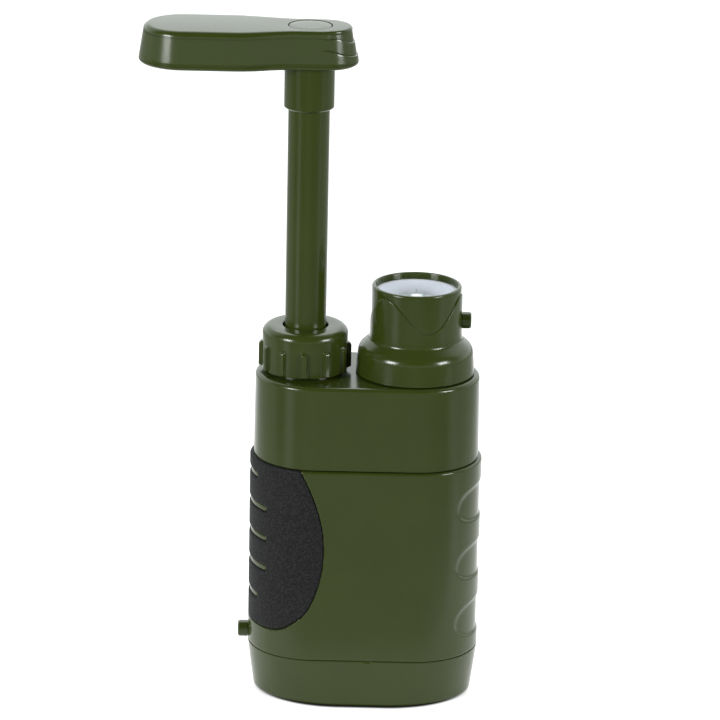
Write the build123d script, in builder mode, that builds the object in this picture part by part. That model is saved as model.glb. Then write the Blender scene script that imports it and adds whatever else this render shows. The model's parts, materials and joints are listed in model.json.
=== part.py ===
"""Hand-pumped water filter with a compass turret, as separate pieces.

Millimetres.  The filter stands on the floor at z = 0, with its origin at the centre of the base.
+X points from the pump towards the compass turret, and -Y is the front.
The pump is drawn with its handle pulled all the way up.
"""

import os
from math import atan2, degrees, sqrt

from build123d import *

# ---- driving dimensions --------------------------------------------------------------------
CASE_LENGTH = 81.0  # grip sleeve, end to end
CASE_DEPTH = 45.6  # grip sleeve, front to back
CASE_TOP = 117.0
SLEEVE_TOP = 86.8
COVER_TOP = 17.2  # seam between bottom cover and sleeve
SEAM_GAP = 0.15
WALL = 2.2

PUMP_X = -21.9  # axis of the pump
TURRET_X = 16.4  # axis of the filter cartridge and of the turret
STROKE = 77.0

CYLINDER_INNER = 10.0  # radii
CYLINDER_OUTER = 11.3
ROD_RADIUS = 7.15
ROD_BORE = 5.35
RUNNING_GAP = 0.05

CARTRIDGE_RADIUS = 15.6
CHAMBER_INNER = 16.1

TURRET_RADIUS = 16.0

BLOCK_TOP = 33.0  # top face of the valve block
INLET_Z = 20.2  # axis of the inlet spout
OUTLET_Z = 136.0  # axis of the outlet spout
SPOUT_RADIUS = 2.9
SPOUT_ROOT = 2.6  # thinner where it sits inside the case or turret
SPOUT_BORE = 1.5

# ---- sizes that follow ---------------------------------------------------------------------
CASE_RADIUS = CASE_DEPTH / 2  # the ends of the case are half circles
CASE_CENTRE = CASE_LENGTH / 2 - CASE_RADIUS  # where those half circles are centred
UPPER_RADIUS = CASE_RADIUS - 0.8
UPPER_CENTRE = 78.5 / 2 - UPPER_RADIUS
UPPER_DRAFT = 0.57  # degrees
SKIRT_OUTER = CASE_RADIUS - 2.7  # housing skirt that stands inside the sleeve
SKIRT_INNER = SKIRT_OUTER - 1.8
LEFT_END = -CASE_LENGTH / 2

NECK_TOP_PUMP = 126.5
NECK_TOP_FILTER = 124.5
CYLINDER_TOP = 128.0

PISTON_BOTTOM = 114.0
PISTON_TOP = 121.0
SCREW_HEAD = 2.2  # height

HANDLE_BOTTOM = 226.5
HANDLE_TOP = 239.8
COLLAR_BOTTOM = 211.0
ROD_TOP = 224.0
BASE_PLATE = 1.4

VALVE_SEAT_Z = 26.4
BALL_RADIUS = 2.4
SEAT_HOLE = 1.6
BALL_Z = VALVE_SEAT_Z + sqrt(BALL_RADIUS**2 - SEAT_HOLE**2) + 0.08

GRIP_DEPTH = 1.4  # thickness of the rubber
RIB_HALF = 0.8  # green ribs that stand in the slots of the rubber
SLOT_HALF = 1.1
SLOT_HEIGHTS = (81.2, 70.2, 59.3, 48.3, 37.0)
SLOT_TIPS = (-37.8, -34.5, -34.5, -34.5, -37.5)
RECESS_HEIGHTS = (72.5, 51.2, 29.9)
RECESS_DEPTH = 0.55

BLOCK_SCREWS = [(-8.5, 14.2), (-8.5, -14.2)]

os.makedirs("parts", exist_ok=True)


# ---- helpers -------------------------------------------------------------------------------
def upright(x, y=0):
    """The vertical plane through an axis at x, whose own x is the radius and own y the height."""
    return Plane(origin=(x, y, 0), x_dir=(1, 0, 0), z_dir=(0, -1, 0))


def vertical(x, y=0):
    return Axis((x, y, 0), (0, 0, 1))


def turned(x, *outline, mode=Mode.ADD):
    """A solid of revolution about the upright axis at x, from (radius, height) corners."""
    with BuildSketch(upright(x)) as profile:
        with BuildLine():
            Polyline(*outline, close=True)
        make_face()
    revolve(profile.sketch, axis=vertical(x), mode=mode)


def tube(x, outer, inner, low, high, mode=Mode.ADD):
    turned(x, (inner, low), (outer, low), (outer, high), (inner, high), mode=mode)


def rod(x, radius, low, high, y=0, mode=Mode.ADD):
    with BuildSketch(Plane.XY.offset(low)) as disc:
        with Locations((x, y)):
            Circle(radius)
    extrude(disc.sketch, amount=high - low, mode=mode)


def across(x_low, x_high, z, radius, mode=Mode.ADD):
    """A round bar or bore along X."""
    with BuildSketch(Plane.YZ.offset(x_low)) as disc:
        with Locations((0, z)):
            Circle(radius)
    extrude(disc.sketch, amount=x_high - x_low, mode=mode)


def beam(x_low, x_high, width, low, high, mode=Mode.ADD):
    with BuildSketch(Plane.XY.offset(low)) as plan:
        with Locations(((x_low + x_high) / 2, 0)):
            Rectangle(x_high - x_low, width)
    extrude(plan.sketch, amount=high - low, mode=mode)


def pill(centre, radius, low, high, mode=Mode.ADD, taper=0):
    """An upright prism with straight sides along X and half-round ends."""
    with BuildSketch(Plane.XY.offset(low)) as outline:
        SlotCenterToCenter(2 * centre, 2 * radius)
    extrude(outline.sketch, amount=high - low, mode=mode, taper=taper)


def o_ring(x, centre_radius, thickness, z):
    with BuildSketch(upright(x)) as section:
        with Locations((centre_radius, z)):
            Circle(thickness / 2)
    revolve(section.sketch, axis=vertical(x))


def finish(builder, node):
    builder.part.label = node
    export_step(builder.part, f"parts/{node}.step")


# ---- bottom cover --------------------------------------------------------------------------
COVER_WALL = 2.9
COVER_RIM_TOP = 19.8
SLEEVE_INNER_END = -CASE_CENTRE - SKIRT_OUTER
BASE_LENGTH = 76.4
BASE_RADIUS = 22.4

with BuildPart() as bottom_cover:
    with BuildSketch():
        SlotOverall(BASE_LENGTH, 2 * BASE_RADIUS)
    with BuildSketch(Plane.XY.offset(COVER_TOP)):
        SlotOverall(CASE_LENGTH, CASE_DEPTH)
    loft()
    fillet(bottom_cover.faces().sort_by(Axis.Z)[0].edges(), 1.2)
    # the hollow inside
    with BuildSketch(Plane.XY.offset(2.0)):
        SlotOverall(BASE_LENGTH - 4.4, 2 * BASE_RADIUS - 4.4)
    with BuildSketch(Plane.XY.offset(COVER_TOP)):
        SlotOverall(CASE_LENGTH - 2 * COVER_WALL, CASE_DEPTH - 2 * COVER_WALL)
    loft(mode=Mode.SUBTRACT)
    # the rim that snaps up into the sleeve, notched where the inlet spout passes
    pill(CASE_CENTRE, SKIRT_OUTER - 0.05, 13.0, COVER_RIM_TOP)
    pill(CASE_CENTRE, SKIRT_OUTER - 1.7, 12.0, COVER_RIM_TOP + 1, mode=Mode.SUBTRACT)
    beam(SLEEVE_INNER_END - 0.1, SLEEVE_INNER_END + 6, 9.4, 15.5, COVER_RIM_TOP + 1, mode=Mode.SUBTRACT)
    # notch for prying the cover off
    with Locations((2.0, -CASE_RADIUS, COVER_TOP)):
        Box(3.2, 1.0, 1.2, mode=Mode.SUBTRACT)
finish(bottom_cover, "bottom_cover")


# ---- grip sleeve and its rubber ------------------------------------------------------------
def grip_region(margin):
    """Side view of the rubber: everything left of one flowing edge."""
    edge = [(-22.6, SLEEVE_TOP), (-18.1, 77.2), (-15.0, 67.0), (-14.1, 57.0), (-15.8, 44.7),
            (-20.5, 34.2), (-27.1, 28.5), (-34.0, 26.6)]
    top = SLEEVE_TOP + 2
    with BuildSketch(Plane.XZ.offset(-CASE_DEPTH)) as region:
        with BuildLine():
            curve = Spline(*[(x + margin, z) for x, z in edge], tangents=[(0.5, -1), (-1, -0.1)])
            foot = (LEFT_END - 2, 26.5 - margin)
            Line(curve @ 1, foot)
            Polyline(foot, (LEFT_END - 2, top), (-23.6 + margin, top), curve @ 0)
        make_face()
    return region.sketch


def bar(tip, z, half_height):
    """Side view of one horizontal slot, with a round tip."""
    far = LEFT_END - 4
    with BuildSketch(Plane.XZ.offset(-CASE_DEPTH)) as shape:
        with Locations(((tip + far) / 2, z)):
            SlotOverall(tip - far, 2 * half_height)
    return shape.sketch


SLEEVE_BOTTOM = COVER_TOP + SEAM_GAP
THROUGH = 2 * CASE_DEPTH

with BuildPart() as grip_bed:  # the hollow in the sleeve that the rubber lies in
    pill(CASE_CENTRE, CASE_RADIUS + 1, SLEEVE_BOTTOM, SLEEVE_TOP + 1)
    pill(CASE_CENTRE, CASE_RADIUS - GRIP_DEPTH, SLEEVE_BOTTOM - 1, SLEEVE_TOP + 2, mode=Mode.SUBTRACT)
    extrude(grip_region(0.2), amount=THROUGH, mode=Mode.INTERSECT)
    for tip, height in zip(SLOT_TIPS, SLOT_HEIGHTS):
        extrude(bar(tip, height, RIB_HALF), amount=THROUGH, mode=Mode.SUBTRACT)

with BuildPart() as grip_sleeve:
    pill(CASE_CENTRE, CASE_RADIUS, SLEEVE_BOTTOM, SLEEVE_TOP)
    fillet(grip_sleeve.faces().sort_by(Axis.Z)[-1].edges(), 0.8)
    pill(CASE_CENTRE, SKIRT_OUTER + 0.15, SLEEVE_BOTTOM - 1, SLEEVE_TOP + 1, mode=Mode.SUBTRACT)
    add(grip_bed.part, mode=Mode.SUBTRACT)
    # notch at the seam, which the sleeve needs to go over the inlet spout
    across(LEFT_END - 5, -30, INLET_Z, SPOUT_ROOT + 0.15, mode=Mode.SUBTRACT)
    beam(LEFT_END - 5, -30, 2 * SPOUT_ROOT + 0.3, COVER_TOP, INLET_Z, mode=Mode.SUBTRACT)
    # finger recesses round the right-hand end
    for height in RECESS_HEIGHTS:
        with BuildPart(mode=Mode.PRIVATE) as recess:
            pill(CASE_CENTRE, CASE_RADIUS + 1, height - 8, height + 8)
            pill(CASE_CENTRE, CASE_RADIUS - RECESS_DEPTH, height - 9, height + 9, mode=Mode.SUBTRACT)
            with BuildSketch(Plane.XZ.offset(-CASE_DEPTH)) as oval:
                with Locations((CASE_LENGTH / 2, height)):
                    Ellipse(9.0, 7.0)
            extrude(oval.sketch, amount=THROUGH, mode=Mode.INTERSECT)
        add(recess.part, mode=Mode.SUBTRACT)
finish(grip_sleeve, "grip_sleeve")

with BuildPart() as rubber_grip:
    pill(CASE_CENTRE, CASE_RADIUS, SLEEVE_BOTTOM, SLEEVE_TOP)
    fillet(rubber_grip.faces().sort_by(Axis.Z)[-1].edges(), 0.8)
    pill(CASE_CENTRE, CASE_RADIUS - GRIP_DEPTH, SLEEVE_BOTTOM - 1, SLEEVE_TOP + 1, mode=Mode.SUBTRACT)
    extrude(grip_region(0), amount=THROUGH, mode=Mode.INTERSECT)
    for tip, height in zip(SLOT_TIPS, SLOT_HEIGHTS):
        extrude(bar(tip + SLOT_HALF - RIB_HALF, height, SLOT_HALF), amount=THROUGH, mode=Mode.SUBTRACT)
finish(rubber_grip, "rubber_grip")


# ---- upper housing -------------------------------------------------------------------------
UPPER_BOTTOM = SLEEVE_TOP + 0.5
TOP_PLATE = 3.0
SKIRT_BOTTOM = 30.0

with BuildPart() as upper_housing:
    pill(UPPER_CENTRE, UPPER_RADIUS, UPPER_BOTTOM, CASE_TOP, taper=UPPER_DRAFT)
    fillet(upper_housing.faces().sort_by(Axis.Z)[-1].edges(), 1.5)
    pill(CASE_CENTRE, SKIRT_OUTER, SKIRT_BOTTOM, UPPER_BOTTOM)
    pill(UPPER_CENTRE, SKIRT_INNER, SKIRT_BOTTOM - 1, CASE_TOP - TOP_PLATE, mode=Mode.SUBTRACT)
    pill(UPPER_CENTRE, UPPER_RADIUS - WALL - 0.3, UPPER_BOTTOM + 2, CASE_TOP - TOP_PLATE, mode=Mode.SUBTRACT)
    # neck for the gland nut
    rod(PUMP_X, 12.6, CASE_TOP - TOP_PLATE, NECK_TOP_PUMP)
    rod(PUMP_X, CYLINDER_OUTER + 0.15, CASE_TOP - 10, NECK_TOP_PUMP + 1, mode=Mode.SUBTRACT)
    # filter chamber, which rises through the top as the turret's neck
    rod(TURRET_X, CHAMBER_INNER + 1.3, BLOCK_TOP + 0.2, NECK_TOP_FILTER)
    rod(TURRET_X, CHAMBER_INNER, BLOCK_TOP - 1, NECK_TOP_FILTER + 1, mode=Mode.SUBTRACT)
    # posts that the valve block screws up to
    for x, y in BLOCK_SCREWS:
        rod(x, 2.9, BLOCK_TOP, CASE_TOP - TOP_PLATE, y=y)
        rod(x, 1.25, BLOCK_TOP - 1, BLOCK_TOP + 12, y=y, mode=Mode.SUBTRACT)
finish(upper_housing, "upper_housing")


# ---- pump cylinder -------------------------------------------------------------------------
with BuildPart() as pump_cylinder:
    tube(PUMP_X, CYLINDER_OUTER, CYLINDER_INNER, BLOCK_TOP, CYLINDER_TOP)
    tube(PUMP_X, 12.5, CYLINDER_INNER, NECK_TOP_PUMP, CYLINDER_TOP)
finish(pump_cylinder, "pump_cylinder")

with BuildPart() as cylinder_seal:
    o_ring(PUMP_X, 12.1, 1.5, BLOCK_TOP + 1.8)
finish(cylinder_seal, "cylinder_seal")


# ---- valve block ---------------------------------------------------------------------------
BLOCK_PLATE = 27.0
BLOCK_BOTTOM = 16.0
CROSS_Z = 23.5
BLOCK_LEFT = -36.4
INLET_ROOT = -31.9  # inner end of the inlet spout
PORT_X = PUMP_X + 6.4  # where water leaves the pump
BALL_CHAMBER = BALL_RADIUS + 0.35

with BuildPart() as valve_block:
    pill(CASE_CENTRE, 17.4, BLOCK_PLATE, BLOCK_TOP)
    beam(BLOCK_LEFT, -14.0, 9.0, BLOCK_BOTTOM, BLOCK_PLATE)
    beam(-16.0, 22.0, 8.0, 20.0, BLOCK_PLATE)
    # socket for the cylinder's foot, with the groove of its seal
    tube(PUMP_X, 13.1, CYLINDER_OUTER + 0.15, BLOCK_TOP - 1, BLOCK_TOP + 5)
    tube(PUMP_X, 12.9, CYLINDER_OUTER, BLOCK_TOP + 1, BLOCK_TOP + 2.6, mode=Mode.SUBTRACT)
    # spigot that closes the foot of the filter chamber
    tube(TURRET_X, CHAMBER_INNER - 0.2, 14.2, BLOCK_TOP - 1, BLOCK_TOP + 4)
    # waterways: in from the spout, up past the inlet ball, back down and across to the filter
    across(-38, PUMP_X, INLET_Z, SPOUT_BORE, mode=Mode.SUBTRACT)
    across(-38, INLET_ROOT, INLET_Z, SPOUT_ROOT, mode=Mode.SUBTRACT)
    rod(PORT_X, 1.4, CROSS_Z - 2, BLOCK_TOP + 1, mode=Mode.SUBTRACT)
    across(PORT_X, TURRET_X, CROSS_Z, 1.2, mode=Mode.SUBTRACT)
    for x, low in ((PUMP_X, INLET_Z - 2), (TURRET_X, CROSS_Z - 2)):
        rod(x, SEAT_HOLE, low, VALVE_SEAT_Z + 1, mode=Mode.SUBTRACT)
        rod(x, BALL_CHAMBER, VALVE_SEAT_Z, BLOCK_TOP + 1, mode=Mode.SUBTRACT)
    for x, y in BLOCK_SCREWS:
        rod(x, 1.6, BLOCK_PLATE - 1, BLOCK_TOP + 1, y=y, mode=Mode.SUBTRACT)
finish(valve_block, "valve_block")

with BuildPart() as block_screws:
    for x, y in BLOCK_SCREWS:
        rod(x, 2.6, BLOCK_PLATE - 1.6, BLOCK_PLATE, y=y)
        rod(x, 1.2, BLOCK_PLATE, BLOCK_TOP + 9, y=y)
finish(block_screws, "block_screws")

PLATE_THICKNESS = 1.2
for node, x, radius in (("inlet_valve_plate", PUMP_X, 5.4), ("outlet_valve_plate", TURRET_X, 8.0)):
    with BuildPart() as valve_plate:
        rod(x, radius, BLOCK_TOP, BLOCK_TOP + PLATE_THICKNESS)
        with BuildSketch(Plane.XY.offset(BLOCK_TOP)):
            with Locations((x, 0)):
                with PolarLocations(1.7, 5):
                    Circle(0.6)
        extrude(amount=PLATE_THICKNESS, mode=Mode.SUBTRACT)
    finish(valve_plate, node)

for node, x in (("inlet_ball", PUMP_X), ("outlet_ball", TURRET_X)):
    with BuildPart() as valve_ball:
        with Locations((x, 0, BALL_Z)):
            Sphere(BALL_RADIUS)
    finish(valve_ball, node)


# ---- spouts --------------------------------------------------------------------------------
INLET_TIP = LEFT_END - 3.5
OUTLET_TIP = TURRET_X + TURRET_RADIUS + 3.1
OUTLET_ROOT = OUTLET_TIP - 10.1


def spout(root, wall, tip, z, shoulder=None):
    """A hollow spout along X, thicker from the wall it leaves to its bevelled tip.

    shoulder is the stretch of its hidden root that a collar sits on, as distances from the root.
    """
    out = 1 if tip > root else -1
    length, hidden = abs(tip - root), abs(wall - root)
    corners = [(0, SPOUT_BORE), (length, SPOUT_BORE), (length, SPOUT_RADIUS - 0.4),
               (length - 0.5, SPOUT_RADIUS), (hidden, SPOUT_RADIUS), (hidden, SPOUT_ROOT)]
    if shoulder:
        inner, outer = shoulder
        corners += [(outer, SPOUT_ROOT), (outer, 4.0), (inner, 4.0), (inner, SPOUT_ROOT)]
    corners.append((0, SPOUT_ROOT))
    plane = Plane(origin=(root, 0, z), x_dir=(out, 0, 0), z_dir=(0, -out, 0))
    with BuildSketch(plane) as section:
        with BuildLine():
            Polyline(*corners, close=True)
        make_face()
    revolve(section.sketch, axis=Axis((root, 0, z), (out, 0, 0)))


with BuildPart() as inlet_spout:
    spout(INLET_ROOT, LEFT_END - 0.1, INLET_TIP, INLET_Z, shoulder=(4.6, 5.5))
finish(inlet_spout, "inlet_spout")


# ---- filter cartridge ----------------------------------------------------------------------
CARTRIDGE_BOTTOM = 38.0
CARTRIDGE_TOP = 122.0
CAP = 5.0
CORE_RADIUS = 13.9
NIPPLE_RADIUS = 4.5
NIPPLE_TOP = 128.8

with BuildPart() as cartridge_shell:
    tube(TURRET_X, CARTRIDGE_RADIUS - 0.4, 14.2, CARTRIDGE_BOTTOM + CAP, CARTRIDGE_TOP - CAP)
finish(cartridge_shell, "cartridge_shell")

with BuildPart() as cartridge_foot:
    turned(TURRET_X, (3, CARTRIDGE_BOTTOM), (CARTRIDGE_RADIUS, CARTRIDGE_BOTTOM),
           (CARTRIDGE_RADIUS, CARTRIDGE_BOTTOM + CAP), (CORE_RADIUS, CARTRIDGE_BOTTOM + CAP),
           (CORE_RADIUS, CARTRIDGE_BOTTOM + 2), (3, CARTRIDGE_BOTTOM + 2))
finish(cartridge_foot, "cartridge_foot")

with BuildPart() as cartridge_head:
    turned(TURRET_X, (2, NIPPLE_TOP), (2, CARTRIDGE_TOP - 2), (CORE_RADIUS, CARTRIDGE_TOP - 2),
           (CORE_RADIUS, CARTRIDGE_TOP - CAP), (CARTRIDGE_RADIUS, CARTRIDGE_TOP - CAP),
           (CARTRIDGE_RADIUS, CARTRIDGE_TOP), (NIPPLE_RADIUS, CARTRIDGE_TOP), (NIPPLE_RADIUS, 125.8),
           (3.6, 125.8), (3.6, 127.4), (NIPPLE_RADIUS, 127.4), (NIPPLE_RADIUS, NIPPLE_TOP))
finish(cartridge_head, "cartridge_head")

with BuildPart() as nipple_seal:
    o_ring(TURRET_X, 4.15, 1.1, 126.6)
finish(nipple_seal, "nipple_seal")

LAYERS = {  # from the bottom up: (low, high)
    "intake_screen": (40.4, 41.0),
    "prefilter_pad": (41.2, 44.2),
    "carbon_block": (44.6, 70.0),
    "middle_pad": (70.4, 72.4),
    "membrane_bundle": (72.8, 112.6),
    "potting_disc": (112.6, 118.6),
}
for node, (low, high) in LAYERS.items():
    with BuildPart() as layer:
        rod(TURRET_X, CORE_RADIUS - 0.15, low, high)
        if node == "intake_screen":
            with BuildSketch(Plane.XY.offset(low)):
                with Locations((TURRET_X, 0)):
                    with HexLocations(2.0, 7, 7):
                        Circle(0.8)
            extrude(amount=high - low, mode=Mode.SUBTRACT)
    finish(layer, node)


# ---- gland: guide bush, seals and nut ------------------------------------------------------
GUIDE_BOTTOM = 121.7
GUIDE_SHOULDER = CYLINDER_TOP + 0.1
GUIDE_TOP = 131.2
NUT_BOTTOM = 118.0
NUT_TOP = 133.5
NUT_RADIUS = 14.9
NUT_CEILING = 131.5
NUT_HOLE = 7.9
RIB_COUNT = 12

with BuildPart() as rod_guide:
    bore = ROD_RADIUS + RUNNING_GAP
    turned(PUMP_X, (bore, GUIDE_BOTTOM), (9.8, GUIDE_BOTTOM), (9.8, 123.4), (8.75, 123.4),
           (8.75, 125.2), (9.8, 125.2), (9.8, GUIDE_SHOULDER), (12.5, GUIDE_SHOULDER),
           (12.5, GUIDE_TOP), (9.2, GUIDE_TOP), (9.2, GUIDE_TOP - 2.2), (bore, GUIDE_TOP - 2.2))
finish(rod_guide, "rod_guide")

with BuildPart() as guide_seal:
    o_ring(PUMP_X, 9.35, 1.2, 124.3)
finish(guide_seal, "guide_seal")

with BuildPart() as rod_seal:
    o_ring(PUMP_X, 8.2, 1.9, GUIDE_TOP - 1.1)
finish(rod_seal, "rod_seal")

with BuildPart() as gland_nut:
    rod(PUMP_X, NUT_RADIUS, NUT_BOTTOM, NUT_TOP)
    fillet(gland_nut.faces().sort_by(Axis.Z)[-1].edges(), 3.0)
    for i in range(RIB_COUNT):
        angle = 360 * i / RIB_COUNT - 90
        with BuildSketch(Plane(origin=(PUMP_X, 0, 118.3)).rotated((0, 0, angle))) as rib:
            with Locations((14.45, 0)):
                SlotOverall(3.4, 2.0)
        extrude(rib.sketch, amount=9.0)
    rod(PUMP_X, 13.2, NUT_BOTTOM - 1, NUT_CEILING, mode=Mode.SUBTRACT)
    rod(PUMP_X, NUT_HOLE, NUT_CEILING - 1, NUT_TOP + 1, mode=Mode.SUBTRACT)
finish(gland_nut, "gland_nut")


# ---- piston and rod ------------------------------------------------------------------------
with BuildPart() as piston_rod:
    tube(PUMP_X, ROD_RADIUS, ROD_BORE, PISTON_TOP - 3.5, ROD_TOP)
finish(piston_rod, "piston_rod")

with BuildPart() as piston:
    turned(PUMP_X, (2.1, PISTON_BOTTOM), (9.7, PISTON_BOTTOM), (9.7, 115.2), (8.2, 115.2),
           (8.2, 117.2), (9.7, 117.2), (9.7, PISTON_TOP), (ROD_RADIUS + 0.02, PISTON_TOP),
           (ROD_RADIUS + 0.02, PISTON_TOP - 3.5), (2.1, PISTON_TOP - 3.5))
finish(piston, "piston")

with BuildPart() as piston_seal:
    o_ring(PUMP_X, 9.08, 1.72, 116.2)
finish(piston_seal, "piston_seal")

with BuildPart() as rod_foot_plug:
    tube(PUMP_X, ROD_BORE - 0.02, 2.0, PISTON_TOP - 3.5, PISTON_TOP + 8)
finish(rod_foot_plug, "rod_foot_plug")

with BuildPart() as piston_screw:
    rod(PUMP_X, 3.6, PISTON_BOTTOM - SCREW_HEAD, PISTON_BOTTOM)
    fillet(piston_screw.faces().sort_by(Axis.Z)[0].edges(), 0.8)
    rod(PUMP_X, 1.95, PISTON_BOTTOM, PISTON_TOP + 6)
finish(piston_screw, "piston_screw")

with BuildPart() as rod_head_plug:
    tube(PUMP_X, ROD_BORE - 0.02, 2.5, ROD_TOP - 11, ROD_TOP)
finish(rod_head_plug, "rod_head_plug")

PIVOT_SCREW_SEAT = 228.9
with BuildPart() as handle_screw:
    rod(PUMP_X, 4.2, PIVOT_SCREW_SEAT, PIVOT_SCREW_SEAT + 2.4)
    fillet(handle_screw.faces().sort_by(Axis.Z)[-1].edges(), 0.8)
    rod(PUMP_X, 2.45, ROD_TOP - 9, PIVOT_SCREW_SEAT)
    with BuildSketch(Plane.XY.offset(PIVOT_SCREW_SEAT + 2.4)):
        with Locations((PUMP_X, 0)):
            Rectangle(4.6, 0.9)
            Rectangle(0.9, 4.6)
    extrude(amount=-1.5, mode=Mode.SUBTRACT)
finish(handle_screw, "handle_screw")


# ---- handle --------------------------------------------------------------------------------
BIG_END = 42.9  # distance from the rod's axis to the centre of the handle's big end
BIG_RADIUS = 15.7
SMALL_END = -5.2
SMALL_RADIUS = 11.7
NARROWING = (26.0, 3.0)  # where the sides start and stop drawing in
HANDLE_DRAFT = degrees(atan2(2.1, HANDLE_TOP - HANDLE_BOTTOM))
PLUG_RADIUS = 7.5


def handle_outline(z, inset):
    """Plan of the handle, drawn with its big end towards -X."""
    big, small = BIG_RADIUS - inset, SMALL_RADIUS - inset
    start, stop = NARROWING
    middle = ((start + stop) / 2, (big + small) / 2)
    with BuildSketch(Plane(origin=(PUMP_X, 0, z), x_dir=(-1, 0, 0), z_dir=(0, 0, 1))) as plan:
        with BuildLine():
            for side in (1, -1):
                Line((BIG_END, side * big), (start, side * big))
                bend = TangentArc((start, side * big), (middle[0], side * middle[1]), tangent=(-1, 0))
                TangentArc(bend @ 1, (stop, side * small), tangent=bend % 1)
                Line((stop, side * small), (SMALL_END, side * small))
            ThreePointArc((BIG_END, big), (BIG_END + big, 0), (BIG_END, -big))
            ThreePointArc((SMALL_END, small), (SMALL_END - small, 0), (SMALL_END, -small))
        make_face()
    return plan.sketch


SHELL_BOTTOM = HANDLE_BOTTOM + BASE_PLATE
SHELL_INSET = BASE_PLATE * (2.1 / (HANDLE_TOP - HANDLE_BOTTOM))
SHELL_WALL = 2.0

with BuildPart() as handle_base:
    extrude(handle_outline(HANDLE_BOTTOM, 0), amount=BASE_PLATE, taper=HANDLE_DRAFT)
    fillet(handle_base.faces().sort_by(Axis.Z)[0].edges(), 1.2)
    # lip that locates the shell
    extrude(handle_outline(SHELL_BOTTOM, SHELL_WALL + 0.6), amount=1.6)
    extrude(handle_outline(SHELL_BOTTOM, SHELL_WALL + 2.0), amount=1.6, mode=Mode.SUBTRACT)
    rod(PUMP_X, 8.65, COLLAR_BOTTOM, SHELL_BOTTOM)
    chamfer(handle_base.faces().sort_by(Axis.Z)[0].edges(), 0.5)
    rod(PUMP_X, ROD_RADIUS + RUNNING_GAP, COLLAR_BOTTOM - 1, ROD_TOP + 0.3, mode=Mode.SUBTRACT)
    rod(PUMP_X, 2.6, ROD_TOP, HANDLE_TOP, mode=Mode.SUBTRACT)
finish(handle_base, "handle_base")

with BuildPart() as handle_washer:
    tube(PUMP_X, 6.0, 2.7, SHELL_BOTTOM + 0.1, PIVOT_SCREW_SEAT - 0.1)
finish(handle_washer, "handle_washer")

with BuildPart() as handle_shell:
    height = HANDLE_TOP - SHELL_BOTTOM
    extrude(handle_outline(SHELL_BOTTOM, SHELL_INSET), amount=height, taper=HANDLE_DRAFT)
    fillet(handle_shell.faces().sort_by(Axis.Z)[-1].edges(), 1.8)
    hollow = handle_outline(SHELL_BOTTOM, SHELL_INSET + SHELL_WALL)
    extrude(hollow, amount=height - SHELL_WALL, taper=HANDLE_DRAFT, mode=Mode.SUBTRACT)
    rod(PUMP_X, PLUG_RADIUS + 1.4, SHELL_BOTTOM + 4, HANDLE_TOP - SHELL_WALL / 2)
    rod(PUMP_X, 6.6, SHELL_BOTTOM, HANDLE_TOP, mode=Mode.SUBTRACT)
    rod(PUMP_X, PLUG_RADIUS, HANDLE_TOP - 1.6, HANDLE_TOP + 1, mode=Mode.SUBTRACT)
finish(handle_shell, "handle_shell")

with BuildPart() as handle_plug:
    rod(PUMP_X, PLUG_RADIUS - 0.1, HANDLE_TOP - 1.6, HANDLE_TOP)
    rod(PUMP_X, 6.5, HANDLE_TOP - 4, HANDLE_TOP - 1.6)
    rod(PUMP_X, 5.2, HANDLE_TOP - 4, HANDLE_TOP - 1.6, mode=Mode.SUBTRACT)
finish(handle_plug, "handle_plug")


# ---- turret --------------------------------------------------------------------------------
TURRET_BOTTOM = 117.5
TURRET_TOP = 148.7
RIM_RADIUS = 15.65
STEP_Z = 140.75
WELL_RADIUS = 14.2
WELL_FLOOR = 140.2
TURRET_BORE = 18.2
TURRET_ROOF = 125.6

with BuildPart() as turret_cap:
    with BuildSketch(upright(TURRET_X)) as profile:
        with BuildLine():
            Polyline((WELL_RADIUS, TURRET_TOP - 0.6), (WELL_RADIUS, WELL_FLOOR), (0, WELL_FLOOR),
                     (0, 131), (4.75, 131), (4.75, TURRET_ROOF), (TURRET_BORE, TURRET_ROOF),
                     (TURRET_BORE, TURRET_BOTTOM), (20.6, TURRET_BOTTOM), (20.2, 121.0), (19.5, 125.5))
            shoulder = ThreePointArc((19.5, 125.5), (18.7, 127.8), (16.9, 129.3))
            Spline(shoulder @ 1, (TURRET_RADIUS, 130.6), tangents=[shoulder % 1, (0, 1)])
            Polyline((TURRET_RADIUS, 130.6), (TURRET_RADIUS, STEP_Z), (RIM_RADIUS, STEP_Z + 0.3),
                     (RIM_RADIUS, TURRET_TOP - 0.6))
            ThreePointArc((RIM_RADIUS, TURRET_TOP - 0.6),
                          ((WELL_RADIUS + RIM_RADIUS) / 2, TURRET_TOP), (WELL_RADIUS, TURRET_TOP - 0.6))
        make_face()
    revolve(profile.sketch, axis=vertical(TURRET_X))
    # waterway: up beside the centre, then out to the spout
    rod(TURRET_X + 3.0, 1.5, 130, OUTLET_Z, mode=Mode.SUBTRACT)
    across(TURRET_X + 3.0, TURRET_X + 20, OUTLET_Z, SPOUT_BORE, mode=Mode.SUBTRACT)
    across(OUTLET_ROOT, TURRET_X + 20, OUTLET_Z, SPOUT_ROOT, mode=Mode.SUBTRACT)
finish(turret_cap, "turret_cap")

with BuildPart() as turret_seal:
    tube(TURRET_X, 17.7, 16.2, NECK_TOP_FILTER + 0.05, TURRET_ROOF - 0.05)
finish(turret_seal, "turret_seal")

with BuildPart() as outlet_spout:
    spout(OUTLET_ROOT, TURRET_X + TURRET_RADIUS + 0.05, OUTLET_TIP, OUTLET_Z)
finish(outlet_spout, "outlet_spout")


# ---- compass -------------------------------------------------------------------------------
CUP_RADIUS = WELL_RADIUS - 0.1
CUP_WALL = 1.0
CUP_FLOOR = WELL_FLOOR + 1.0
LENS_BOTTOM = 146.2
LENS_TOP = 147.4
NEEDLE_Z = 143.4

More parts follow.
